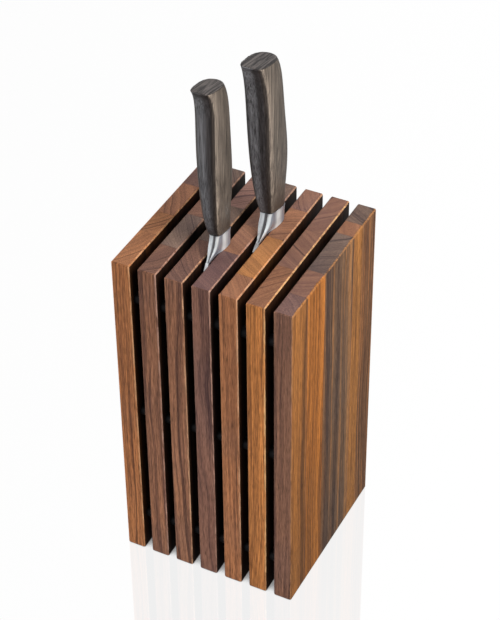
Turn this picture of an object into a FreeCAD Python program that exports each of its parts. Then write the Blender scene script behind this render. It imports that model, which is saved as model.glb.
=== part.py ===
import FreeCAD, Part
import math
import os

import Sketcher

# A knife block of seven upright walnut slats, held apart by rods and sleeves, with two
# knives standing blade down in its slots. Every slat is glued up from upright staves.
# Millimetres. +Z is up, the front is towards -Y and +X is to the right.
# The origin is the middle of the footprint, on the table.

BLOCK_SIZES = {
    "slat_count": 7,
    "slat_thickness": 13,
    "slot_width": 6,
    "block_depth": 125,
    "block_height": 250,
    "edge_bevel": 0.8,
    "rod_diameter": 5,
    "rod_clearance": 0.05,  # radial, in the slats and in the sleeves
    "rod_end_cover": 6,  # wood left outside the blind ends of the bores
    "rod_end_gap": 0.5,
    "rod_inset": 8,  # axis to the front or back face
    "rod_rise": 30,  # lowest axis to the table, and highest axis to the top
    "sleeve_diameter": 8,
}

# Glue lines of each slat from left to right, as distances from its front face.
GLUE_LINES = {
    1: (37, 60, 95),
    2: (30, 66, 98),
    3: (45, 86),
    4: (41, 72, 104),
    5: (24, 67, 101),
    6: (43, 84),
    7: (21, 47, 90, 104),
}

# A knife's own frame has its origin on the spine line, level with the top of the block;
# the edge is towards -Y and the handle rises along +Z. Belly and spine of the grip are
# distances in front of the spine line.
GRIP_STATIONS = {
    "neck": 0, "shoulder": 0.25, "palm": 0.5, "waist": 0.75, "crown": 0.92, "butt": 1,
}
BLADE_STATIONS = {"heel": 0, "middle": 0.4, "belly": 0.7, "point": 0.9, "tip": 1}

# Half of a cross-section, from the corner of the flat belly facet round to the middle of
# the spine, as shares of half the width and of the depth. The grip has full sides; the
# foot of the bolster has a thin fin in front that becomes the heel of the blade.
GRIP_OUTLINE = (
    (0.5, 0), (0.8, 0.06), (0.96, 0.24), (1, 0.45), (0.92, 0.74), (0.58, 0.93), (0, 1),
)
FOOT_OUTLINE = (
    (0.2, 0), (0.28, 0.04), (0.31, 0.3), (0.75, 0.52), (1, 0.74), (0.62, 0.94), (0, 1),
)

# Levels of the bolster between its foot and its neck, with the share of the foot's
# outline at each.
BOLSTER_LEVELS = ((0, 1), (0.12, 0.85), (0.33, 0.5), (0.62, 0.15))
SWEEP_POWER = 1.6  # how suddenly the bolster's front sweeps out towards the heel

KNIFE_SIZES = {
    "large": {
        "slot": 4,
        "spine_position": 30.3,  # behind the middle of the block
        "blade_length": 200,
        "spine_thickness": 2.4,
        "foot_width": 8.6, "foot_belly": 35,
        "neck_height": 10.8,
        "grip_length": 125,
        "neck_belly": 25, "neck_spine": 0, "neck_width": 9.8,
        "shoulder_belly": 31.2, "shoulder_spine": 1.3, "shoulder_width": 15.8,
        "palm_belly": 34.6, "palm_spine": 4.1, "palm_width": 18.4,
        "waist_belly": 36.9, "waist_spine": 9.3, "waist_width": 18.8,
        "crown_belly": 41, "crown_spine": 14.2, "crown_width": 17.8,
        "butt_belly": 45.4, "butt_spine": 23, "butt_width": 16.8,
        "heel_edge": 40.5, "heel_back": 0,
        "middle_edge": 39.5, "middle_back": 0,
        "belly_edge": 33, "belly_back": 1,
        "point_edge": 21, "point_back": 4,
        "tip_edge": 9.5, "tip_back": 7.5,
    },
    "small": {
        "slot": 3,
        "spine_position": -8.6,
        "blade_length": 160,
        "spine_thickness": 2,
        "foot_width": 7.2, "foot_belly": 29.3,
        "neck_height": 11,
        "grip_length": 118.9,
        "neck_belly": 20.5, "neck_spine": 0, "neck_width": 8,
        "shoulder_belly": 27, "shoulder_spine": 0.7, "shoulder_width": 13.4,
        "palm_belly": 29.2, "palm_spine": 1.2, "palm_width": 15.6,
        "waist_belly": 29.2, "waist_spine": 3.8, "waist_width": 16.2,
        "crown_belly": 31, "crown_spine": 8, "crown_width": 15.6,
        "butt_belly": 36.6, "butt_spine": 16.2, "butt_width": 14.8,
        "heel_edge": 32.5, "heel_back": 0,
        "middle_edge": 31.5, "middle_back": 0,
        "belly_edge": 26.5, "belly_back": 0.8,
        "point_edge": 17, "point_back": 3,
        "tip_edge": 7.5, "tip_back": 5.7,
    },
}

SHARED_KNIFE_SIZES = {
    "seat_gap": 0.3,  # bolster over the slats, and blade beside the slat that it leans on
    "neck_tilt": 13,  # degrees, the joint of grip and bolster rises towards the belly
    "butt_slope": 10,  # degrees, the sawn butt falls towards the spine
    "saw_allowance": 1,  # grip's blank beyond the beak of the butt
    "neck_facet": 0.45,  # flat of the belly to the width of the grip
    "butt_facet": 0.64,
    "heel_drop": 4,  # heel of the blade below the top of the block
    "edge_thickness": 0.4,
    "spine_taper": 0.6,  # share of the spine's thickness that is ground off by the tip
    "tang_depth": 8,
    "tang_thickness": 2,
    "tang_length": 60,
    "tang_setback": 7,  # tang's back face in front of the spine line
    "tang_clearance": 0.1,
    "bore_end_gap": 1,
}

COLUMNS = {"front": -1, "back": 1}
ROWS = {"low": -1, "middle": 0, "high": 1}


def knife_sizes(sheet, knife):
    """The sheet's own values for one knife, by their short names."""
    return {name: getattr(sheet, f"{knife}_{name}") for name in KNIFE_SIZES[knife]}


def make_sheet(doc):
    sheet = doc.addObject("Spreadsheet::Sheet", "Sizes")
    sizes = dict(BLOCK_SIZES)
    sizes.update(SHARED_KNIFE_SIZES)
    for slat, lines in GLUE_LINES.items():
        for number, distance in enumerate(lines, start=1):
            sizes[f"slat_{slat}_glue_{number}"] = distance
    for knife, values in KNIFE_SIZES.items():
        for name, value in values.items():
            sizes[f"{knife}_{name}"] = value
    for row, (name, value) in enumerate(sizes.items(), start=1):
        sheet.set(f"A{row}", name)
        sheet.set(f"B{row}", str(value))
        sheet.setAlias(f"B{row}", name)
    doc.recompute()
    return sheet


def bind(part, expressions):
    for target, expression in expressions.items():
        part.setExpression(target, expression)


def place(part, east, north, height):
    bind(part, {
        "Placement.Base.x": east,
        "Placement.Base.y": north,
        "Placement.Base.z": height,
    })


# ---- sketches ------------------------------------------------------------------------

def origin_plane(body, role):
    return next(plane for plane in body.Origin.OriginFeatures if plane.Role == role)


def add_sketch(body, name, role="XY_Plane", height="0 mm"):
    sketch = body.newObject("Sketcher::SketchObject", name)
    sketch.AttachmentSupport = [(origin_plane(body, role), "")]
    sketch.MapMode = "FlatFace"
    sketch.setExpression("AttachmentOffset.Base.z", height)
    return sketch


def add_size(sketch, kind, elements, expression):
    """Add a dimension that follows an expression on the sheet."""
    value = sketch.evalExpression(expression)
    value = getattr(value, "Value", value)
    number = sketch.addConstraint(Sketcher.Constraint(kind, *elements, value))
    sketch.setExpression(f"Constraints[{number}]", expression)
    return value


def polygon_sketch(body, name, corners, role="XY_Plane", height="0 mm"):
    """Closed polygon whose corners are pairs of expressions."""
    sketch = add_sketch(body, name, role, height)
    count = len(corners)
    points = []
    for across, along in corners:
        x = sketch.evalExpression(across)
        y = sketch.evalExpression(along)
        points.append(FreeCAD.Vector(getattr(x, "Value", x), getattr(y, "Value", y), 0))
    for index, start in enumerate(points):
        sketch.addGeometry(Part.LineSegment(start, points[(index + 1) % count]), False)
    for index in range(count):
        sketch.addConstraint(Sketcher.Constraint("Coincident", index, 2, (index + 1) % count, 1))
    for index, (across, along) in enumerate(corners):
        add_size(sketch, "DistanceX", (-1, 1, index, 1), across)
        add_size(sketch, "DistanceY", (-1, 1, index, 1), along)
    return sketch


# ---- features ------------------------------------------------------------------------

def add_loft(body, name, sections):
    loft = body.newObject("PartDesign::AdditiveLoft", name)
    loft.Profile = sections[0]
    loft.Sections = sections[1:]
    loft.Ruled = False
    body.Document.recompute()
    return loft


def add_pad(body, name, sketch, length, both_sides=False):
    pad = body.newObject("PartDesign::Pad", name)
    pad.Profile = sketch
    pad.setExpression("Length", length)
    if both_sides:
        pad.SideType = "Symmetric"
    body.Document.recompute()
    return pad


# ---- block ---------------------------------------------------------------------------

def slat_body(doc, number):
    """One glued-up slat as a plain board with eased edges, before it is bored."""
    body = doc.addObject("PartDesign::Body", f"Board_{number}")
    half_thickness = "Sizes.slat_thickness / 2"
    half_depth = "Sizes.block_depth / 2"
    outline = polygon_sketch(body, f"BoardOutline_{number}", (
        (f"-{half_thickness}", f"-{half_depth}"),
        (half_thickness, f"-{half_depth}"),
        (half_thickness, half_depth),
        (f"-{half_thickness}", half_depth),
    ))
    board = add_pad(body, f"BoardPad_{number}", outline, "Sizes.block_height")
    bevel = body.newObject("PartDesign::Chamfer", f"BoardBevel_{number}")
    edges = [f"Edge{index}" for index in range(1, len(board.Shape.Edges) + 1)]
    bevel.Base = (board, edges)
    bevel.setExpression("Size", "Sizes.edge_bevel")
    place(body, slat_centre(number), "0", "0")
    return body


def slat_centre(number):
    return (f"({number} - (Sizes.slat_count + 1) / 2)"
            " * (Sizes.slat_thickness + Sizes.slot_width)")


def rod_cylinder(doc, name, column, row, radius, length):
    """Cylinder along X on one rod's axis, centred on the block."""
    cylinder = doc.addObject("Part::Cylinder", name)
    bind(cylinder, {"Radius": radius, "Height": length})
    cylinder.Placement.Rotation = FreeCAD.Rotation(FreeCAD.Vector(0, 1, 0), 90)
    place(
        cylinder,
        f"-({length}) / 2",
        f"{COLUMNS[column]} * (Sizes.block_depth / 2 - Sizes.rod_inset)",
        f"Sizes.block_height / 2 + {ROWS[row]} * (Sizes.block_height / 2 - Sizes.rod_rise)",
    )
    return cylinder


BLOCK_WIDTH = "(Sizes.slat_count * (Sizes.slat_thickness + Sizes.slot_width) - Sizes.slot_width)"
BORE_LENGTH = f"{BLOCK_WIDTH} - 2 * Sizes.rod_end_cover"
BORE_RADIUS = "Sizes.rod_diameter / 2 + Sizes.rod_clearance"


def rod_bores(doc):
    cylinders = [
        rod_cylinder(doc, f"Bore_{column}_{row}", column, row, BORE_RADIUS, BORE_LENGTH)
        for column in COLUMNS
        for row in ROWS
    ]
    bores = doc.addObject("Part::Compound", "Bores")
    bores.Links = cylinders
    return bores


def make_staves(doc, number, board, bores, glue_count):
    """Bore one board and saw it into the staves that it is glued up from."""
    bored = doc.addObject("Part::Cut", f"BoredBoard_{number}")
    bored.Base = board
    bored.Tool = bores
    front_face = "-Sizes.block_depth / 2"
    lines = ["0"]
    lines += [f"Sizes.slat_{number}_glue_{line}" for line in range(1, glue_count + 1)]
    lines += ["Sizes.block_depth"]
    staves = []
    for index in range(glue_count + 1):
        room = doc.addObject("Part::Box", f"StaveRoom_{number}_{index + 1}")
        bind(room, {
            "Length": "Sizes.slat_thickness",
            "Width": f"{lines[index + 1]} - {lines[index]}",
            "Height": "Sizes.block_height",
        })
        place(
            room,
            f"{slat_centre(number)} - Sizes.slat_thickness / 2",
            f"{front_face} + {lines[index]}",
            "0",
        )
        stave = doc.addObject("Part::Common", f"Stave_{number}_{index + 1}")
        stave.Base = bored
        stave.Tool = room
        stave.Label = f"slat_{number}_stave_{index + 1}"
        staves.append(stave)
    return staves


def make_rod(doc, column, row):
    rod = rod_cylinder(
        doc, f"Rod_{column}_{row}", column, row,
        "Sizes.rod_diameter / 2", f"{BORE_LENGTH} - 2 * Sizes.rod_end_gap")
    rod.Label = f"rod_{column}_{row}"
    return rod


def make_sleeves(doc, column, row, inner_boards):
    """The sleeves on one rod: a tube between the outer slats, less the slats between."""
    length = f"{BLOCK_WIDTH} - 2 * Sizes.slat_thickness"
    name = f"{column}_{row}"
    outside = rod_cylinder(
        doc, f"SleeveOutside_{name}", column, row, "Sizes.sleeve_diameter / 2", length)
    inside = rod_cylinder(doc, f"SleeveBore_{name}", column, row, BORE_RADIUS, length)
    tube = doc.addObject("Part::Cut", f"SleeveTube_{name}")
    tube.Base = outside
    tube.Tool = inside
    sleeves = doc.addObject("Part::Cut", f"Sleeves_{name}")
    sleeves.Base = tube
    sleeves.Tool = inner_boards
    sleeves.Label = f"sleeves_{name}"
    return sleeves


def make_block(doc, sheet):
    boards = {number: slat_body(doc, number) for number in range(1, sheet.slat_count + 1)}
    inner_boards = doc.addObject("Part::Compound", "InnerBoards")
    inner_boards.Links = [boards[number] for number in range(2, sheet.slat_count)]
    bores = rod_bores(doc)
    pieces = []
    for number, board in boards.items():
        pieces += make_staves(doc, number, board, bores, len(GLUE_LINES[number]))
    for column in COLUMNS:
        for row in ROWS:
            pieces.append(make_rod(doc, column, row))
            pieces.append(make_sleeves(doc, column, row, inner_boards))
    return pieces


# ---- knives --------------------------------------------------------------------------

def place_knife_part(piece, knife):
    """Stand a piece of a knife in its slot, leaning on the slat to its right."""
    slot_middle = (f"(Sizes.{knife}_slot - Sizes.slat_count / 2)"
                   " * (Sizes.slat_thickness + Sizes.slot_width)")
    lean = f"(Sizes.slot_width - Sizes.{knife}_spine_thickness) / 2 - Sizes.seat_gap"
    place(piece, f"{slot_middle} + {lean}", f"Sizes.{knife}_spine_position", "Sizes.block_height")


def smooth_section(outline, width, belly, spine, height, tilt=0):
    """Flat belly facet closed by one smooth curve round the mirrored outline. A tilt in
    degrees lifts the belly side."""
    depth = belly - spine
    rise = math.tan(math.radians(tilt))
    half = [(across * width / 2, along * depth - belly) for across, along in outline]
    mirrored = [(-across, along) for across, along in half[-2::-1]]
    points = [FreeCAD.Vector(x, y, height - rise * y) for x, y in half + mirrored]
    curve = Part.BSplineCurve()
    curve.interpolate(Points=points)
    facet = Part.LineSegment(points[-1], points[0])
    return Part.Wire([facet.toShape(), curve.toShape()])


def with_facet(outline, facet_share):
    """The same outline with another width of belly facet."""
    return ((facet_share, 0),) + tuple(outline[1:])


def blended_outline(share):
    """Section between the grip's outline (0) and the bolster foot's (1)."""
    return [
        (across + share * (foot_across - across), along + share * (foot_along - along))
        for (across, along), (foot_across, foot_along) in zip(GRIP_OUTLINE, FOOT_OUTLINE)
    ]


def tang_room(sheet, bottom, top):
    """Straight bore around the tang between two heights."""
    gap = sheet.tang_clearance
    width = sheet.tang_thickness + 2 * gap
    depth = sheet.tang_depth + 2 * gap
    corner = FreeCAD.Vector(-width / 2, -sheet.tang_setback - sheet.tang_depth - gap, bottom)
    return Part.makeBox(width, depth, top - bottom, corner)


def grip_section(sizes, sheet, station):
    """Section of the grip at one station; the joint at the neck is tilted."""
    share = GRIP_STATIONS[station]
    blank_length = sizes["grip_length"] + sheet.saw_allowance
    facet_share = sheet.neck_facet + share**2 * (sheet.butt_facet - sheet.neck_facet)
    return smooth_section(
        with_facet(GRIP_OUTLINE, facet_share), sizes[f"{station}_width"],
        sizes[f"{station}_belly"], sizes[f"{station}_spine"],
        sizes["neck_height"] + share * blank_length,
        sheet.neck_tilt if station == "neck" else 0)


def waste_above_butt(sizes, sheet):
    """Wedge that the slanting saw cut takes off the end of the grip."""
    beak = -sizes["butt_belly"]
    top = sizes["neck_height"] + sizes["grip_length"]
    slope = math.tan(math.radians(sheet.butt_slope))
    side = sizes["waist_width"]
    low = top + 2 * beak * slope
    high = top - beak * slope
    corners = (
        FreeCAD.Vector(-side, 2 * beak, high),
        FreeCAD.Vector(-side, -beak, low),
        FreeCAD.Vector(-side, -beak, high),
    )
    wedge = Part.Face(Part.makePolygon(corners + corners[:1]))
    return wedge.extrude(FreeCAD.Vector(2 * side, 0, 0))


def make_handle(doc, sheet, knife):
    """Wooden grip with a slanting sawn butt and a blind bore for the tang."""
    sizes = knife_sizes(sheet, knife)
    sections = [grip_section(sizes, sheet, station) for station in GRIP_STATIONS]
    blank = Part.makeLoft(sections, True, False)
    bore_top = sizes["neck_height"] + sheet.tang_length + sheet.bore_end_gap
    sawn = blank.cut(waste_above_butt(sizes, sheet))
    handle = doc.addObject("Part::Feature", f"{knife}_handle")
    handle.Shape = sawn.cut(tang_room(sheet, 0, bore_top)).Solids[0]
    place_knife_part(handle, knife)
    handle.Label = f"{knife}_knife_handle"
    return handle


def make_bolster(doc, sheet, knife):
    """Polished collar that narrows from the grip and sweeps forward to the heel."""
    sizes = knife_sizes(sheet, knife)
    foot = sheet.seat_gap
    neck = sizes["neck_height"]
    neck_front = neck + sizes["neck_belly"] * math.tan(math.radians(sheet.neck_tilt))
    sections = []
    for share, blend in BOLSTER_LEVELS:
        height = foot + share * (neck - foot)
        sweep = ((neck_front - height) / (neck_front - foot))**SWEEP_POWER
        belly = sizes["neck_belly"] + sweep * (sizes["foot_belly"] - sizes["neck_belly"])
        width = sizes["foot_width"] + share * (sizes["neck_width"] - sizes["foot_width"])
        sections.append(smooth_section(
            blended_outline(blend), width, belly, sizes["neck_spine"], height))
    sections.append(grip_section(sizes, sheet, "neck"))
    collar = Part.makeLoft(sections, True, False)
    bolster = doc.addObject("Part::Feature", f"{knife}_bolster")
    bolster.Shape = collar.cut(tang_room(sheet, 0, 2 * neck_front)).Solids[0]
    place_knife_part(bolster, knife)
    bolster.Label = f"{knife}_knife_bolster"
    return bolster


def make_blade(doc, knife):
    """Wedge-ground blade with a stick tang that runs up through the bolster."""
    body = doc.addObject("PartDesign::Body", f"{knife}_blade")
    sections = []
    for station, share in BLADE_STATIONS.items():
        edge = f"Sizes.{knife}_{station}_edge"
        back = f"Sizes.{knife}_{station}_back"
        half_edge = "Sizes.edge_thickness / 2"
        half_spine = f"(1 - Sizes.spine_taper * {share}) * Sizes.{knife}_spine_thickness / 2"
        sections.append(polygon_sketch(body, f"{knife}_{station}_section", (
            (f"-{half_edge}", f"-{edge}"),
            (half_edge, f"-{edge}"),
            (half_spine, f"-{back}"),
            (f"-{half_spine}", f"-{back}"),
        ), height=f"-Sizes.heel_drop - {share} * Sizes.{knife}_blade_length"))
    add_loft(body, f"{knife}_blade_loft", sections)
    heel_block = polygon_sketch(body, f"{knife}_heel_outline", (
        ("0", "Sizes.seat_gap"),
        (f"-Sizes.{knife}_foot_belly", "Sizes.seat_gap"),
        (f"-Sizes.{knife}_heel_edge", "-Sizes.heel_drop"),
        ("0", "-Sizes.heel_drop"),
    ), role="YZ_Plane")
    add_pad(
        body, f"{knife}_heel_block", heel_block, f"Sizes.{knife}_spine_thickness",
        both_sides=True)
    front = "-Sizes.tang_setback - Sizes.tang_depth"
    half_tang = "Sizes.tang_thickness / 2"
    tang = polygon_sketch(body, f"{knife}_tang_outline", (
        (f"-{half_tang}", front),
        (half_tang, front),
        (half_tang, "-Sizes.tang_setback"),
        (f"-{half_tang}", "-Sizes.tang_setback"),
    ))
    add_pad(body, f"{knife}_tang", tang, f"Sizes.{knife}_neck_height + Sizes.tang_length")
    place_knife_part(body, knife)
    body.Label = f"{knife}_knife_blade"
    return body


def make_knives(doc, sheet):
    pieces = []
    for knife in KNIFE_SIZES:
        pieces.append(make_blade(doc, knife))
        pieces.append(make_bolster(doc, sheet, knife))
        pieces.append(make_handle(doc, sheet, knife))
    return pieces


# ---- checks and files ----------------------------------------------------------------

def check_document(doc, pieces):
    for item in doc.Objects:
        if "Invalid" in item.State or "Error" in item.State:
            raise RuntimeError(f"{item.Name} failed: {item.State}")
    for piece in pieces:
        if piece.Shape.isNull() or not piece.Shape.isValid():
            raise RuntimeError(f"{piece.Label} has no valid shape")


def main():
    doc = FreeCAD.newDocument("KnifeBlock")
    sheet = make_sheet(doc)
    pieces = make_block(doc, sheet) + make_knives(doc, sheet)
    doc.recompute()
    check_document(doc, pieces)
    os.makedirs("parts", exist_ok=True)
    for piece in pieces:
        piece.Shape.exportStep(os.path.join("parts", f"{piece.Label}.step"))
        print(f"{piece.Label}: {len(piece.Shape.Solids)} solid(s), {piece.Shape.Volume:.0f} mm3")


main()
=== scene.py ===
import math
import random

import bpy
from mathutils import Matrix, Vector


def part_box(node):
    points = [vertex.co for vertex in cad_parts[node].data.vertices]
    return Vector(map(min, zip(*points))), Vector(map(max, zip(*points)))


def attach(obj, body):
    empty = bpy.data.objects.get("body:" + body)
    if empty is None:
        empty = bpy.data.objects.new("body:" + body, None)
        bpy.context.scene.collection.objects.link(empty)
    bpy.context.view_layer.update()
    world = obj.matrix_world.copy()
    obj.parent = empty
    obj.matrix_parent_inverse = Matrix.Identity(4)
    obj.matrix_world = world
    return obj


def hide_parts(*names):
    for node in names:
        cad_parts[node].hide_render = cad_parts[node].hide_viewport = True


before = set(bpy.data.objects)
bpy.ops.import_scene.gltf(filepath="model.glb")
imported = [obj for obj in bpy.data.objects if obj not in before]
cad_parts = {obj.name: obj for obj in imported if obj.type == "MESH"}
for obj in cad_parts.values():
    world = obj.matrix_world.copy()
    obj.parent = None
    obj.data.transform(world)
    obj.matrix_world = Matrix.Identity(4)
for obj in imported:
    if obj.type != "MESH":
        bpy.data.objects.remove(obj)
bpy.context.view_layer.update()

# A walnut knife block with two knives, in a white studio. Metres, +Z up, the block's open
# front towards -Y.

MM = 0.001

# ---- camera and stage ----------------------------------------------------------------

VIEW_AZIMUTH = 27.11
VIEW_ELEVATION = 39.03
VIEW_ROLL = -0.6
VIEW_DISTANCE = 1.360
AIM_POINT = (-0.0131, 0.0306, 0.1609)
LENS = 116.33
SENSOR = 36
CLIP_START = 0.05

# Colour of each light, its power in watts, its size, where it hangs as azimuth to the
# right of the front, elevation and distance from the aim point, and whether glossy
# surfaces mirror it.
LIGHTS = {
    "key": {"color": (1, 0.97, 0.93), "power": 6.8, "size": (0.4, 0.5), "hang": (66, 42, 0.75),
            "mirrored": True},
    "fill": {"color": (1, 0.99, 0.97), "power": 23, "size": (0.6, 0.8), "hang": (-58, 4, 1.3),
             "mirrored": True},
    "top": {"color": (1, 1, 1), "power": 9, "size": (0.8, 0.8), "hang": (-110, 58, 1.5),
            "mirrored": False},
    "kick": {"color": (1, 0.97, 0.94), "power": 0.15, "size": (0.5, 0.03), "hang": (0, -33, 0.263),
             "mirrored": False},
}
AMBIENT = 0.16
FLAG_AZIMUTH = 34  # middle of the studio's dark front wall, as glossy surfaces see it
FLAG_WIDTH = 34  # degrees from its middle to its edge
FLAG_SOFTNESS = 0.15  # half the width of its edge's blend, as a cosine
FLAG_LIGHT = 0.06
LEFT_LIGHT = 0.4  # the studio's left wall, beside its white right wall, seen likewise
FLOOR_SIZE = 8
FLOOR_DROP = 0.05 * MM  # how far the floor lies below the block's underside
FLOOR_WHITE = 1.08  # glow of the open floor, over 1 because the gloss takes a share of it
FLOOR_DARK = 0.12  # painted shadow: glow of the floor where the block all but covers it
FLOOR_SHADOW_REACH = 25 * MM
FLOOR_GLOSS = 0.2
FLOOR_ROUGHNESS = 0.03
FLOOR_MIRRORED = 0.2  # how bright the floor is in other surfaces' reflections

# ---- wood ----------------------------------------------------------------------------

TONES = {
    "golden": (0.50, 0.190, 0.058),
    "ginger": (0.40, 0.155, 0.062),
    "amber": (0.345, 0.14, 0.066),
    "brown": (0.27, 0.121, 0.071),
    "umber": (0.225, 0.108, 0.071),
    "slate": (0.19, 0.11, 0.072),
    "plum": (0.185, 0.089, 0.067),
    "honey": (0.30, 0.115, 0.030),
    "orange": (0.38, 0.133, 0.028),
    "ash": (0.14, 0.078, 0.047),
    "straw": (0.36, 0.150, 0.044),
    "bark": (0.23, 0.107, 0.049),
}
# What a tone is multiplied by in its palest wood, in its deepest, in veins and in the russet
# streaks of the right face, and what the colour is multiplied by in cool patches and on end
# grain.
PALE_SHARE = (1.5, 1.52, 1.4)
DEEP_SHARE = (0.48, 0.48, 0.58)
VEIN_SHARE = (0.26, 0.27, 0.36)
RUSSET_SHARE = (2.1, 1.7, 1.1)
PATCH_SHARE = (0.78, 0.88, 1.1)
END_GRAIN_SHARE = (0.76, 0.86, 1.06)
EDGE_HIGHLIGHT_TONES = {  # painted highlights on the rounded right edges of each slat
    "cream": (0.72, 0.43, 0.20),
    "peach": (0.58, 0.31, 0.16),
    "warm": (0.56, 0.32, 0.19),
    "pink": (0.42, 0.25, 0.19),
    "faint": (0.36, 0.17, 0.07),
}

# Each slat's staves from front to back. Slat 6 shows another tone on its front, and slat 7
# on its right face.
SLAT_STAVES = {
    1: ("ginger", "ginger", "amber", "umber"),
    2: ("brown", "slate", "brown", "slate"),
    3: ("brown", "slate", "umber"),
    4: ("plum", "amber", "brown", "slate"),
    5: ("amber", "golden", "amber", "brown"),
    6: ("amber", "brown", "brown"),
    7: ("umber", "brown", "slate", "amber", "slate"),
}
FRONT_TONES = {6: "golden"}
RIGHT_FACE_TONES = ("honey", "orange", "ash", "straw", "bark")
# Tone of the painted highlight on each slat's right edges.
SLAT_EDGE_HIGHLIGHTS = {1: "peach", 2: "pink", 3: "warm", 4: "pink", 5: "warm", 6: "cream", 7: "faint"}

# Single staves, by slat and stave: the share of russet streaks on the right face, how much
# deeper the wood gets towards the stave's front, and the brightness of its end grain.
STREAKED_STAVES = {(7, 3): 0.8, (7, 5): 0.5}
STAVE_TILTS = {(7, 1): -0.3, (7, 3): 0.9}
END_GRAIN_SHADES = {(1, 3): 1.2, (2, 1): 0.78, (2, 2): 1.25, (3, 1): 0.75, (3, 3): 1.6, (6, 1): 0.87}

# Ranges that each stave's growth is drawn from: the pith's direction in degrees off the Y
# axis, its distance, the rings' width and how far they wave, the last three in mm.
PITH_ANGLES = (25, 65)
PITH_DISTANCES = (60, 140)
RING_WIDTHS = (1.8, 3.6)
FIGURE_DEPTHS = (4, 16)

SLOT_WALL_PAINTED_SHADE = 0.08  # painted shade: share of its brightness that the wood keeps on the slots' walls
WALNUT_SPECULAR = 0.14
OAK_SPECULAR = 0.25
GRAIN_RELIEF = 0.12 * MM

# Smoked oak of the grips; two colours are the two ends of its grain's bands.
OAK_SIDE = ((0.19, 0.157, 0.128), (0.112, 0.091, 0.076))
# The belly's cool grey holds a painted sheen.
OAK_BELLY = ((0.118, 0.118, 0.127), (0.080, 0.079, 0.086))
OAK_BUTT = ((0.108, 0.094, 0.089), (0.016, 0.013, 0.013))
# Painted shade on the belly towards its right ridge.
OAK_BELLY_PAINTED_SHADE = (0.024, 0.019, 0.019)
# Painted shade along the ridges between belly and sides.
OAK_RIDGE_PAINTED_SHADE = (0.018, 0.014, 0.013)
OAK_LINE = (0.018, 0.015, 0.014)
OAK_RIM = (0.008, 0.007, 0.007)
# Painted light: how much brighter each grip's belly is made.
BELLY_PAINTED_LIGHT = {"large": 1.7, "small": 1.0}
GRIP_GRID = 0.6 * MM  # mesh of the grips, before their edges are sanded
GRIP_SANDING = 5  # passes

# ---- steel ---------------------------------------------------------------------------

BLADE_COLOR = (0.84, 0.86, 0.89)
BLADE_ROUGHNESS = (0.26, 0.32)
BLADE_LINES = (15, 15, 420)
# The rods and sleeves are a very dark steel.
ROD_COLOR = (0.03, 0.03, 0.032)
ROD_ROUGHNESS = (0.4, 0.55)
ROD_LINES = (900, 60, 60)
# Greys of a bolster's front and sides, which hold painted reflection, and the white and dark of its
# painted reflections.
BOLSTER_FRONT = (0.58, 0.62, 0.66)
BOLSTER_SIDE = (0.34, 0.38, 0.45)
BOLSTER_PAINTED_WHITE = (0.84, 0.94, 1.0)
BOLSTER_PAINTED_DARK = (0.055, 0.05, 0.055)
BOLSTER_METALLIC = 0.4
BOLSTER_RELIEF = 0.02 * MM


class Tree:
    """Short calls that add nodes to one node tree. A value is a number, a tuple or a
    socket of another node."""

    def __init__(self, tree):
        self.tree = tree

    def feed(self, socket, value):
        if isinstance(value, bpy.types.NodeSocket):
            self.tree.links.new(value, socket)
        elif hasattr(socket.default_value, "__len__") and len(socket.default_value) == 4:
            socket.default_value = (*value[:3], 1)
        else:
            socket.default_value = value

    def node(self, kind, inputs=(), **settings):
        made = self.tree.nodes.new(kind)
        for name, value in settings.items():
            setattr(made, name, value)
        for name, value in dict(inputs).items():
            self.feed(made.inputs[name], value)
        return made

    def math(self, operation, first, second=0.0, third=0.0, clamp=False):
        made = self.node("ShaderNodeMath", operation=operation, use_clamp=clamp)
        for socket, value in zip(made.inputs, (first, second, third)):
            self.feed(socket, value)
        return made.outputs[0]

    def vector(self, operation, first, second=(0, 0, 0)):
        made = self.node("ShaderNodeVectorMath", operation=operation)
        self.feed(made.inputs[0], first)
        self.feed(made.inputs[1], second)
        return made.outputs["Value" if operation in ("LENGTH", "DOT_PRODUCT") else "Vector"]

    def mix(self, factor, first, second, blend="MIX"):
        made = self.node("ShaderNodeMix", data_type="RGBA", blend_type=blend)
        self.feed(made.inputs[0], factor)
        self.feed(made.inputs[6], first)
        self.feed(made.inputs[7], second)
        return made.outputs[2]

    def noise(self, vector, scale, detail=2.0, roughness=0.5, distortion=0.0):
        made = self.node("ShaderNodeTexNoise", {
            "Vector": vector, "Scale": scale, "Detail": detail, "Roughness": roughness,
            "Distortion": distortion})
        return made.outputs["Fac"]

    def stretched_noise(self, vector, scales, detail=2.0, roughness=0.5):
        return self.noise(self.vector("MULTIPLY", vector, scales), 1.0, detail, roughness)

    def span(self, value, low, high, to_low=0.0, to_high=1.0, smooth=True):
        """The value carried from one range to another, and held at its ends."""
        made = self.node("ShaderNodeMapRange", {
            "Value": value, "From Min": low, "From Max": high, "To Min": to_low,
            "To Max": to_high})
        made.interpolation_type = "SMOOTHSTEP" if smooth else "LINEAR"
        return made.outputs["Result"]

    def split(self, vector):
        return self.node("ShaderNodeSeparateXYZ", {"Vector": vector}).outputs

    def join(self, east, north, up):
        return self.node("ShaderNodeCombineXYZ", {"X": east, "Y": north, "Z": up}).outputs[0]

    def scaled(self, color, brightness):
        return self.vector("MULTIPLY", color, self.join(brightness, brightness, brightness))


def new_group(name, inputs, outputs):
    group = bpy.data.node_groups.new(name, "ShaderNodeTree")
    for socket_name, kind in inputs.items():
        group.interface.new_socket(socket_name, in_out="INPUT", socket_type=f"NodeSocket{kind}")
    for socket_name, kind in outputs.items():
        group.interface.new_socket(socket_name, in_out="OUTPUT", socket_type=f"NodeSocket{kind}")
    tree = Tree(group)
    given = tree.node("NodeGroupInput").outputs
    result = tree.node("NodeGroupOutput").inputs
    return group, tree, given, result


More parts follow.
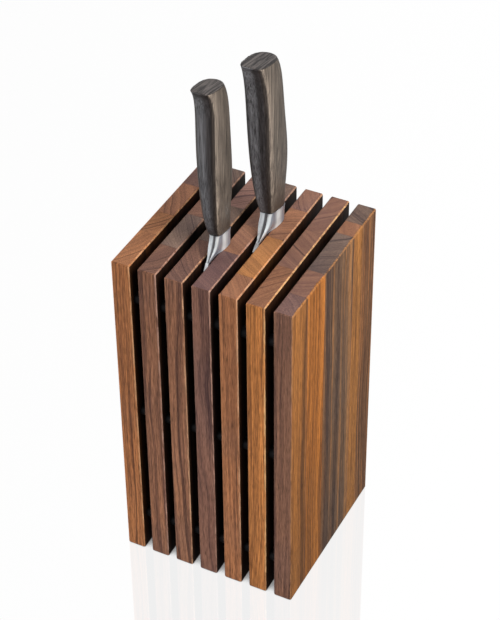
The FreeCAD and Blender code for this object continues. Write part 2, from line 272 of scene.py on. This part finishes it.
def new_material(name):
    material = bpy.data.materials.new(name)
    material.use_nodes = True
    material.node_tree.nodes.clear()
    tree = Tree(material.node_tree)
    shader = tree.node("ShaderNodeBsdfPrincipled")
    tree.feed(tree.node("ShaderNodeOutputMaterial").inputs["Surface"], shader.outputs[0])
    return material, tree, shader


def add_bump(tree, shader, height, strength, distance):
    bump = tree.node("ShaderNodeBump", {
        "Height": height, "Strength": strength, "Distance": distance})
    tree.feed(shader.inputs["Normal"], bump.outputs[0])


def growth_radius(tree, given, place, seeded):
    """Distance from the pith, made uneven so that the rings wander and wave."""
    wander = tree.math("SUBTRACT", tree.stretched_noise(seeded, (45, 45, 6), 2), 0.5)
    wave = tree.math("SUBTRACT", tree.stretched_noise(seeded, (9, 9, 8), 1), 0.5)
    from_pith = tree.vector("MULTIPLY", tree.vector("SUBTRACT", place, given["Pith"]), (1, 1, 0))
    radius = tree.math("ADD", tree.vector("LENGTH", from_pith), tree.math("MULTIPLY", wander, 4 * MM))
    return tree.math("ADD", radius, tree.math("MULTIPLY", wave, given["Figure"]))


def late_wood(tree, given, radius, layers):
    """The dark end of each year's ring."""
    turns = tree.math("DIVIDE", radius, given["Ring"])
    phase = tree.math("FRACT", tree.math("ADD", turns, tree.math("MULTIPLY", layers(110, 0, 1), 2.5)))
    return tree.math("MULTIPLY", tree.span(phase, 0.3, 0.9), tree.span(phase, 0.93, 1.0, 1.0, 0.0))


def walnut_depth(tree, given, north, late, layers, fibre, end_grain):
    """How deep the wood's colour is, from 0 to 1: pigment streaks of three widths, late
    wood, the stave's own tilt and fibres, and all of it calmer on end grain."""
    broad = tree.span(layers(170, 2, 2), 0.40, 0.60)
    narrow = tree.span(layers(620, 4, 3), 0.38, 0.62)
    ribbon = tree.span(layers(390, 2.5, 1), 0.47, 0.53)
    depth = tree.math("MULTIPLY", broad, 0.36)
    for part, share in ((narrow, 0.30), (ribbon, 0.26), (late, 0.14)):
        depth = tree.math("ADD", depth, tree.math("MULTIPLY", part, share))
    across_stave = tree.span(north, given["Front"], given["Back"], 0.5, -0.5, False)
    depth = tree.math("ADD", depth, tree.math("MULTIPLY", across_stave, given["Tilt"]))
    depth = tree.math("ADD", depth, tree.span(fibre, 0.34, 0.66, -0.32, 0.32, False), clamp=True)
    calm = tree.span(depth, 0.0, 1.0, 0.26, 0.74, False)
    return tree.math("ADD", depth, tree.math(
        "MULTIPLY", end_grain, tree.math("SUBTRACT", calm, depth)))


def walnut_tone(tree, given, place, seeded, layers):
    """The stave's tone, with others laid over its right face and its front, and russet
    streaks on the right face."""
    east, north, _ = tree.split(place)
    ragged = tree.span(tree.stretched_noise(seeded, (260, 260, 40), 3, 0.7), 0.35, 0.65, 0.35, 1.7, False)
    skin_start = tree.math("SUBTRACT", given["Right"], tree.math("MULTIPLY", ragged, MM))
    in_skin = tree.span(tree.math("SUBTRACT", east, skin_start), 0.0, 0.25 * MM)
    tone = tree.mix(in_skin, given["Tone"], given["Skin"])
    at_front = tree.span(tree.math("SUBTRACT", north, given["Front"]), 0.3 * MM, 0.8 * MM, 1.0, 0.0)
    tone = tree.mix(at_front, tone, given["Front skin"])
    streaks = tree.math("MULTIPLY", tree.span(layers(260, 1.5, 2), 0.5, 0.62), given["Streaks"])
    streaks = tree.math("MULTIPLY", streaks, in_skin)
    return tree.mix(streaks, tone, tree.vector("MULTIPLY", tone, RUSSET_SHARE))


def walnut_color(tree, given, seeded, layers, tone, depth, end_grain):
    """Wood of this tone and depth, with dark veins, cool patches and its own end grain."""
    color = tree.mix(depth, tree.vector("MULTIPLY", tone, PALE_SHARE),
                     tree.vector("MULTIPLY", tone, DEEP_SHARE))
    vein = tree.span(layers(330, 1.5, 3), 0.59, 0.65)
    color = tree.mix(tree.math("MULTIPLY", vein, 0.7), color, tree.vector("MULTIPLY", tone, VEIN_SHARE))
    patch = tree.stretched_noise(seeded, (14, 14, 11), 2)
    color = tree.mix(tree.span(patch, 0.45, 0.65, 0.0, 0.45), color,
                     tree.vector("MULTIPLY", color, PATCH_SHARE))
    top = tree.scaled(tree.vector("MULTIPLY", color, END_GRAIN_SHARE), given["Top"])
    return tree.mix(end_grain, color, top)


def painted_edge_highlights(tree, given, east, normal, seeded):
    """How strongly a painted highlight lights the wood: only on the rounded edges round its
    right face, in places.
    """
    corner = tree.math("ADD", tree.math("MULTIPLY", tree.math("MULTIPLY", normal[0], normal[2]), 0.9),
                       tree.math("MULTIPLY", normal[0], normal[1]))
    at_right = tree.span(tree.math("SUBTRACT", given["Right"], east), 0.5 * MM, 1.0 * MM, 1.0, 0.0)
    corner = tree.math("MULTIPLY", tree.span(corner, 0.3, 0.5), at_right)
    in_places = tree.span(tree.stretched_noise(seeded, (420, 420, 60), 3, 0.7), 0.38, 0.6, 0.15, 1.0)
    return tree.math("MULTIPLY", corner, in_places)


def walnut_marks_and_painted_shade(tree, given, north, facing, normal, fleck, pore):
    """Brightness of the wood: darker at glue lines and in flecks and pores, and with
    painted shade on the slots' walls and on the edge between front and top."""
    seam = tree.math("MINIMUM",
                     tree.math("SUBTRACT", north, given["Front"]),
                     tree.math("SUBTRACT", given["Back"], north))
    shade = tree.span(seam, 0.0, 0.35 * MM, 0.72, 1.0)
    # Painted shade on the slots' walls.
    shade = tree.math("MULTIPLY", shade, tree.span(facing, 0.85, 0.95, 1.0, given["Right wall"]))
    shade = tree.math("MULTIPLY", shade, tree.span(facing, -0.95, -0.5, given["Left wall"], 1.0))
    shade = tree.math("MULTIPLY", shade, tree.span(fleck, 0.34, 0.66, 0.7, 1.3, False))
    shade = tree.math("MULTIPLY", shade, tree.math("SUBTRACT", 1.0, tree.math("MULTIPLY", pore, 0.5)))
    # Painted shade on the rounded edge between front and top.
    painted_front_top_shade = tree.span(tree.math("MULTIPLY", normal[1], normal[2]), 0.3, 0.5, 1.0, 0.6)
    return tree.math("MULTIPLY", shade, painted_front_top_shade)


def walnut_group():
    """Solid walnut: growth rings round a pith, pigment streaks and dark veins that follow
    them, fibres and pores along Z, greyer end grain, painted highlights on its right
    edges, painted shade on the slots' walls and on the edge between front and top, and
    layers of other tones at the front and the right face."""
    group, tree, given, result = new_group("walnut", {
        "Tone": "Color", "Front skin": "Color", "Skin": "Color", "Edge": "Color", "Pith": "Vector",
        "Seed": "Float", "Ring": "Float", "Figure": "Float", "Tilt": "Float", "Top": "Float",
        "Streaks": "Float", "Right": "Float", "Front": "Float", "Back": "Float",
        "Left wall": "Float", "Right wall": "Float",
    }, {"Color": "Color", "Roughness": "Float", "Height": "Float"})
    coordinates = tree.node("ShaderNodeTexCoord").outputs
    place = coordinates["Object"]
    facing = tree.split(coordinates["Normal"])[0]
    normal = tree.split(tree.vector("ABSOLUTE", coordinates["Normal"]))
    east, north, _ = tree.split(place)
    shift = tree.join(given["Seed"], given["Seed"], given["Seed"])
    seeded = tree.vector("ADD", place, shift)
    up = tree.split(seeded)[2]
    radius = growth_radius(tree, given, place, seeded)

    def layers(frequency, drift, detail):
        """Noise that changes with the ring's radius, and slowly along the stave."""
        across = tree.math("MULTIPLY", radius, frequency)
        along = tree.math("MULTIPLY", up, drift)
        return tree.noise(tree.join(across, given["Seed"], along), 1.0, detail, 0.65)

    late = late_wood(tree, given, radius, layers)
    fibre = tree.stretched_noise(seeded, (1300, 1300, 18), 3, 0.7)
    fleck = tree.stretched_noise(seeded, (2400, 2400, 150), 2, 0.6)
    pore = tree.span(tree.stretched_noise(seeded, (3000, 3000, 110), 1), 0.60, 0.68)
    end_grain = tree.span(normal[2], 0.72, 0.95)

    depth = walnut_depth(tree, given, north, late, layers, fibre, end_grain)
    tone = walnut_tone(tree, given, place, seeded, layers)
    color = walnut_color(tree, given, seeded, layers, tone, depth, end_grain)
    # Painted highlight on the right edges.
    color = tree.mix(painted_edge_highlights(tree, given, east, normal, seeded), color, given["Edge"])
    shade = walnut_marks_and_painted_shade(tree, given, north, facing, normal, fleck, pore)
    tree.feed(result["Color"], tree.scaled(color, shade))

    roughness = tree.math("ADD", 0.42, tree.math("MULTIPLY", fibre, 0.16))
    tree.feed(result["Roughness"], tree.math("ADD", roughness, tree.math("MULTIPLY", pore, 0.12)))
    relief = tree.math("SUBTRACT", tree.math("MULTIPLY", fleck, 0.5), pore)
    tree.feed(result["Height"], tree.math("ADD", relief, tree.math("MULTIPLY", fibre, 0.6)))
    return group


def stave_material(walnut, node, slat, stave):
    """One stave's own wood, with a pith, ring width and seed of its own."""
    draw = random.Random(100 * slat + stave)
    low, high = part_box(node)
    pith_way = math.radians(draw.choice((-1, 1)) * draw.uniform(*PITH_ANGLES))
    pith_distance = draw.choice((-1, 1)) * draw.uniform(*PITH_DISTANCES) * MM
    pith = (low + high) / 2 + pith_distance * Vector((math.sin(pith_way), math.cos(pith_way), 0))
    tone = SLAT_STAVES[slat][stave - 1]
    is_last_slat = slat == len(SLAT_STAVES)
    skin = RIGHT_FACE_TONES[stave - 1] if is_last_slat else tone
    material, tree, shader = new_material(f"walnut_{slat}_{stave}")
    wood = tree.node("ShaderNodeGroup", node_tree=walnut)
    values = {
        "Tone": TONES[tone], "Skin": TONES[skin], "Edge": EDGE_HIGHLIGHT_TONES[SLAT_EDGE_HIGHLIGHTS[slat]],
        "Front skin": TONES[FRONT_TONES.get(slat, tone) if stave == 1 else tone],
        "Pith": pith, "Seed": draw.uniform(1, 9), "Ring": draw.uniform(*RING_WIDTHS) * MM,
        "Figure": draw.uniform(*FIGURE_DEPTHS) * MM, "Tilt": STAVE_TILTS.get((slat, stave), 0),
        "Top": END_GRAIN_SHADES.get((slat, stave), 1),
        "Streaks": STREAKED_STAVES.get((slat, stave), 0),
        "Right": high.x, "Front": low.y, "Back": high.y,
        "Left wall": 1 if slat == 1 else SLOT_WALL_PAINTED_SHADE,
        "Right wall": 1 if is_last_slat else SLOT_WALL_PAINTED_SHADE,
    }
    for name, value in values.items():
        tree.feed(wood.inputs[name], value)
    tree.feed(shader.inputs["Base Color"], wood.outputs["Color"])
    tree.feed(shader.inputs["Roughness"], wood.outputs["Roughness"])
    shader.inputs["Specular IOR Level"].default_value = WALNUT_SPECULAR
    add_bump(tree, shader, wood.outputs["Height"], 0.35, GRAIN_RELIEF)
    return material


def oak_side(tree, ahead, band):
    """Grey-brown side of a grip, with a painted highlight beside its front ridges and
    painted shade where it faces back.
    """
    side = tree.mix(band, *OAK_SIDE)
    # Painted highlight where the side faces forward, painted shade where it faces back.
    side = tree.scaled(side, tree.span(ahead, -0.55, 0.1, 1.65, 0.68))
    return tree.scaled(side, tree.span(ahead, 0.1, 0.7, 1.0, 0.7))


def oak_belly(tree, from_middle, wander, band, brightness):
    """Cool grey belly of a grip that holds a painted sheen, made brighter by the painted
    light given, with painted shade that darkens it towards its right ridge.
    """
    belly = tree.scaled(tree.mix(band, *OAK_BELLY), brightness)
    # Painted shade towards the right ridge.
    belly_painted_shade = tree.span(tree.math("ADD", from_middle, tree.math("MULTIPLY", wander, 2.5 * MM)),
                       0.6 * MM, 4.2 * MM)
    return tree.mix(tree.math("MULTIPLY", belly_painted_shade, 0.85), belly, OAK_BELLY_PAINTED_SHADE)


def oak_butt(tree, color, place, normal):
    """The colour, with end grain laid over the butt and a dark rim round it."""
    hatch = tree.stretched_noise(place, (1100, 45, 45), 2, 0.6)
    butt = tree.mix(tree.span(hatch, 0.44, 0.56), *OAK_BUTT)
    color = tree.mix(tree.span(normal[2], 0.6, 0.8), color, butt)
    rim = tree.math("MULTIPLY", tree.span(normal[2], 0.3, 0.5), tree.span(normal[2], 0.7, 0.92, 1.0, 0.0))
    return tree.mix(tree.math("MULTIPLY", rim, 0.7), color, OAK_RIM)


def smoked_oak(name, middle, belly_painted_light):
    """Dark smoked wood of a grip whose mid-plane is at this x: its sides and belly with
    painted highlights, sheen and shade and fine grain along Z, painted shade along the
    ridges between them, its butt, and a darker foot by the bolster."""
    material, tree, shader = new_material(name)
    coordinates = tree.node("ShaderNodeTexCoord").outputs
    place = coordinates["Object"]
    east, north, _ = tree.split(place)
    ahead = tree.split(coordinates["Normal"])[1]
    normal = tree.split(tree.vector("ABSOLUTE", coordinates["Normal"]))
    wander = tree.stretched_noise(place, (60, 60, 9), 2)
    layer = tree.math("ADD", north, tree.math("MULTIPLY", wander, 9 * MM))
    band = tree.noise(tree.join(tree.math("MULTIPLY", layer, 520), 0.0, 0.0), 1.0, 4, 0.75)
    band = tree.span(band, 0.36, 0.64)
    fibre = tree.stretched_noise(place, (1500, 1500, 22), 4, 0.75)
    line = tree.span(tree.stretched_noise(place, (2100, 2100, 40), 2), 0.53, 0.62)

    side = oak_side(tree, ahead, band)
    from_middle = tree.math("SUBTRACT", east, middle)
    belly = oak_belly(tree, from_middle, wander, band, belly_painted_light)
    color = tree.mix(tree.span(normal[0], 0.35, 0.95), belly, side)
    # Painted shade along the ridges between belly and sides.
    painted_ridge = tree.math("MULTIPLY", normal[0], tree.span(ahead, -0.9, -0.25, 1.0, 0.0))
    color = tree.mix(tree.span(painted_ridge, 0.22, 0.5, 0.0, 0.85), color, OAK_RIDGE_PAINTED_SHADE)
    color = tree.scaled(color, tree.span(fibre, 0.36, 0.64, 0.4, 1.55, False))
    color = tree.mix(tree.math("MULTIPLY", line, 0.6), color, OAK_LINE)
    color = oak_butt(tree, color, place, normal)
    foot = tree.span(tree.split(coordinates["Generated"])[2], 0.0, 0.22, 0.55, 1.0)
    tree.feed(shader.inputs["Base Color"], tree.scaled(color, foot))
    tree.feed(shader.inputs["Roughness"], tree.span(fibre, 0.3, 0.7, 0.3, 0.46, False))
    shader.inputs["Specular IOR Level"].default_value = OAK_SPECULAR
    add_bump(tree, shader, tree.math("SUBTRACT", fibre, line), 0.5, GRAIN_RELIEF)
    return material


def steel(name, base, roughness, line_scales):
    """Satin steel with fine grinding lines, which are narrowest along their largest scale."""
    material, tree, shader = new_material(name)
    place = tree.node("ShaderNodeTexCoord").outputs["Object"]
    lines = tree.stretched_noise(place, line_scales, 2, 0.6)
    cloud = tree.noise(place, 40, 2)
    brightness = tree.math("MULTIPLY", tree.span(cloud, 0.3, 0.7, 0.9, 1.04, False),
                           tree.span(lines, 0.35, 0.65, 0.95, 1.03, False))
    tree.feed(shader.inputs["Base Color"], tree.scaled(base, brightness))
    low, high = roughness
    tree.feed(shader.inputs["Roughness"], tree.span(cloud, 0.3, 0.7, low, high, False))
    shader.inputs["Metallic"].default_value = 1
    return material


def bolster_steel(name, middle):
    """Pale steel of a bolster whose mid-plane is at this x, with painted reflections: white
    ridges, a dark band on the right of its front, sides whitest down their middle, front
    and sides of different greys, and streaks along Z."""
    material, tree, shader = new_material(name)
    coordinates = tree.node("ShaderNodeTexCoord").outputs
    place = coordinates["Object"]
    east = tree.split(place)[0]
    along = tree.split(coordinates["Generated"])[1]
    facing, ahead, _ = tree.split(coordinates["Normal"])
    lines = tree.stretched_noise(place, (1600, 1600, 40), 3, 0.7)
    painted_streaks = tree.stretched_noise(place, (500, 500, 12), 2)
    turn = tree.math("ARCTAN2", tree.math("ABSOLUTE", facing), tree.math("MULTIPLY", ahead, -1))
    # Painted reflection: a dark band on the right of the front.
    painted_dark_band = tree.math("MULTIPLY",
                     tree.span(tree.math("SUBTRACT", east, middle), -0.4 * MM, 0.6 * MM),
                     tree.span(turn, 0.3, 0.7, 1.0, 0.0))
    # Painted reflection: white ridges between front and sides.
    painted_ridge = tree.math("MULTIPLY", tree.span(turn, 0.6, 0.9), tree.span(turn, 1.1, 1.35, 1.0, 0.0))
    # Painted reflection: sides whitest down their middle, darker towards the back.
    white = tree.math("MULTIPLY", tree.span(along, 0.45, 0.54), tree.span(along, 0.6, 0.78, 1.0, 0.0))
    side = tree.mix(white, BOLSTER_SIDE, BOLSTER_PAINTED_WHITE)
    side = tree.scaled(side, tree.span(along, 0.75, 1.0, 1.0, 0.7))
    color = tree.mix(tree.span(turn, 0.8, 1.4), BOLSTER_FRONT, side)
    color = tree.mix(tree.math("MULTIPLY", painted_ridge, 0.85), color, BOLSTER_PAINTED_WHITE)
    color = tree.mix(tree.math("MULTIPLY", painted_dark_band, 0.93), color, BOLSTER_PAINTED_DARK)
    color = tree.scaled(color, tree.span(lines, 0.35, 0.65, 0.9, 1.05, False))
    # Painted reflection: streaks along Z.
    color = tree.scaled(color, tree.span(painted_streaks, 0.35, 0.65, 0.82, 1.05, False))
    tree.feed(shader.inputs["Base Color"], color)
    tree.feed(shader.inputs["Roughness"], tree.span(lines, 0.35, 0.65, 0.15, 0.24, False))
    shader.inputs["Metallic"].default_value = BOLSTER_METALLIC
    add_bump(tree, shader, lines, 0.02, BOLSTER_RELIEF)
    return material


# ---- stage ---------------------------------------------------------------------------

def direction(azimuth, elevation):
    """Unit vector from the object towards a place at this azimuth, in degrees to the right
    of the front, and this elevation."""
    around = math.radians(azimuth)
    up = math.radians(elevation)
    return Vector((math.sin(around) * math.cos(up), -math.cos(around) * math.cos(up), math.sin(up)))


def make_camera():
    camera = bpy.data.cameras.new("camera")
    camera.lens = LENS
    camera.sensor_width = SENSOR
    camera.clip_start = CLIP_START
    holder = bpy.data.objects.new("camera", camera)
    bpy.context.scene.collection.objects.link(holder)
    back = direction(VIEW_AZIMUTH, VIEW_ELEVATION)
    turn = back.to_track_quat("Z", "Y").to_matrix().to_4x4()
    roll = Matrix.Rotation(math.radians(VIEW_ROLL), 4, "Z")
    holder.matrix_world = Matrix.Translation(Vector(AIM_POINT) + VIEW_DISTANCE * back) @ turn @ roll
    bpy.context.scene.camera = holder


def make_light(name, color, power, size, hang, mirrored):
    light = bpy.data.lights.new(name, "AREA")
    light.shape = "RECTANGLE"
    light.color = color
    light.energy = power
    light.size, light.size_y = size
    holder = bpy.data.objects.new(name, light)
    bpy.context.scene.collection.objects.link(holder)
    azimuth, elevation, distance = hang
    towards = direction(azimuth, elevation)
    turn = towards.to_track_quat("Z", "Y").to_matrix().to_4x4()
    holder.matrix_world = Matrix.Translation(Vector(AIM_POINT) + distance * towards) @ turn
    holder.visible_camera = False
    holder.visible_glossy = mirrored


def make_world():
    """White to the camera, a dim even light on matt surfaces, and to glossy surfaces a
    white studio with a dark front wall and a dim left wall."""
    world = bpy.data.worlds.new("studio")
    bpy.context.scene.world = world
    world.use_nodes = True
    world.node_tree.nodes.clear()
    tree = Tree(world.node_tree)
    rays = tree.node("ShaderNodeLightPath").outputs
    way = tree.node("ShaderNodeTexCoord").outputs["Generated"]
    flag_way = direction(FLAG_AZIMUTH, 0)
    off_flag = tree.vector("DOT_PRODUCT", tree.vector("NORMALIZE", tree.vector(
        "MULTIPLY", way, (1, 1, 0))), flag_way)
    edge = math.cos(math.radians(FLAG_WIDTH))
    mirrored = tree.span(off_flag, edge - FLAG_SOFTNESS, edge + FLAG_SOFTNESS, 1.0, FLAG_LIGHT)
    mirrored = tree.math("MULTIPLY", mirrored, tree.span(
        tree.split(way)[0], -1.0, 0.6, LEFT_LIGHT, 1.0, False))
    strength = tree.math("ADD", AMBIENT, tree.math(
        "MULTIPLY", rays["Is Glossy Ray"], tree.math("SUBTRACT", mirrored, AMBIENT)))
    strength = tree.math("MAXIMUM", strength, rays["Is Camera Ray"])
    background = tree.node("ShaderNodeBackground", {"Color": (1, 1, 1), "Strength": strength})
    tree.feed(tree.node("ShaderNodeOutputWorld").inputs["Surface"], background.outputs[0])


def acrylic():
    """White acrylic that glows by itself, mirrors a little and carries a painted shadow,
    taken from ambient occlusion, only under the block.
    """
    material = bpy.data.materials.new("white_acrylic")
    material.use_nodes = True
    material.node_tree.nodes.clear()
    tree = Tree(material.node_tree)
    # Painted shadow: the floor's glow dims where the block is near.
    open_sky = tree.node("ShaderNodeAmbientOcclusion", {"Distance": FLOOR_SHADOW_REACH},
                         samples=16).outputs["AO"]
    white = tree.span(open_sky, 0.12, 0.42, FLOOR_DARK, FLOOR_WHITE)
    rays = tree.node("ShaderNodeLightPath").outputs
    strength = tree.math("MULTIPLY", white, tree.span(
        rays["Is Camera Ray"], 0.0, 1.0, FLOOR_MIRRORED, 1.0, False))
    glow = tree.node("ShaderNodeEmission", {"Color": (1, 1, 1), "Strength": strength})
    mirror = tree.node("ShaderNodeBsdfGlossy", {"Color": (1, 1, 1), "Roughness": FLOOR_ROUGHNESS})
    blend = tree.node("ShaderNodeMixShader", {"Fac": FLOOR_GLOSS})
    tree.feed(blend.inputs[1], glow.outputs[0])
    tree.feed(blend.inputs[2], mirror.outputs[0])
    tree.feed(tree.node("ShaderNodeOutputMaterial").inputs["Surface"], blend.outputs[0])
    return material


def make_floor():
    half = FLOOR_SIZE / 2
    mesh = bpy.data.meshes.new("floor")
    mesh.from_pydata([(-half, -half, 0), (half, -half, 0), (half, half, 0), (-half, half, 0)],
                     [], [(0, 1, 2, 3)])
    floor = bpy.data.objects.new("floor", mesh)
    bpy.context.scene.collection.objects.link(floor)
    floor.location.z = -FLOOR_DROP
    floor.data.materials.append(acrylic())
    keep_lamps_off(floor)


def keep_lamps_off(piece):
    """Leaves a piece that glows by itself out of all lamps' light, so that it mirrors none."""
    unlit = bpy.data.collections.new(f"unlit_{piece.name}")
    unlit.objects.link(piece)
    unlit.collection_objects[0].light_linking.link_state = "EXCLUDE"
    for name in LIGHTS:
        bpy.data.objects[name].light_linking.receiver_collection = unlit


# ---- finishes on the nodes -----------------------------------------------------------

def dress(node, material):
    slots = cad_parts[node].data.materials
    slots.clear()
    slots.append(material)


def dress_block():
    walnut = walnut_group()
    dark_steel = steel("rod_steel", ROD_COLOR, ROD_ROUGHNESS, ROD_LINES)
    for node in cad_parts:
        words = node.split("_")
        if words[0] == "slat":
            slat, stave = int(words[1]), int(words[3])
            dress(node, stave_material(walnut, node, slat, stave))
        elif words[0] in ("rod", "sleeves"):
            dress(node, dark_steel)


def eased_copy(name, node, material):
    """A copy of a CAD node on an even mesh, with its edges sanded round, that stands for it."""
    piece = bpy.data.objects.new(name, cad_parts[node].data.copy())
    bpy.context.scene.collection.objects.link(piece)
    even = piece.modifiers.new("even_mesh", "REMESH")
    even.mode = "VOXEL"
    even.voxel_size = GRIP_GRID
    even.use_smooth_shade = True
    sanding = piece.modifiers.new("sanding", "SMOOTH")
    sanding.factor = 0.5
    sanding.iterations = GRIP_SANDING
    depsgraph = bpy.context.evaluated_depsgraph_get()
    mesh = bpy.data.meshes.new_from_object(piece.evaluated_get(depsgraph))
    piece.modifiers.clear()
    piece.data = mesh
    mesh.materials.clear()
    mesh.materials.append(material)
    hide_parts(node)
    return piece


def make_knives():
    satin = steel("blade_steel", BLADE_COLOR, BLADE_ROUGHNESS, BLADE_LINES)
    for knife in ("large", "small"):
        body = f"{knife}_knife"
        low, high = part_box(f"{body}_handle")
        middle = (low.x + high.x) / 2
        oak = smoked_oak(f"smoked_oak_{knife}", middle, BELLY_PAINTED_LIGHT[knife])
        grip = eased_copy(f"{knife}_grip", f"{body}_handle", oak)
        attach(grip, body)
        dress(f"{body}_bolster", bolster_steel(f"polished_steel_{knife}", middle))
        dress(f"{body}_blade", satin)


bpy.context.scene.view_settings.view_transform = "Standard"
make_camera()
for light_name, light_facts in LIGHTS.items():
    make_light(light_name, **light_facts)
make_world()
make_floor()
dress_block()
make_knives()
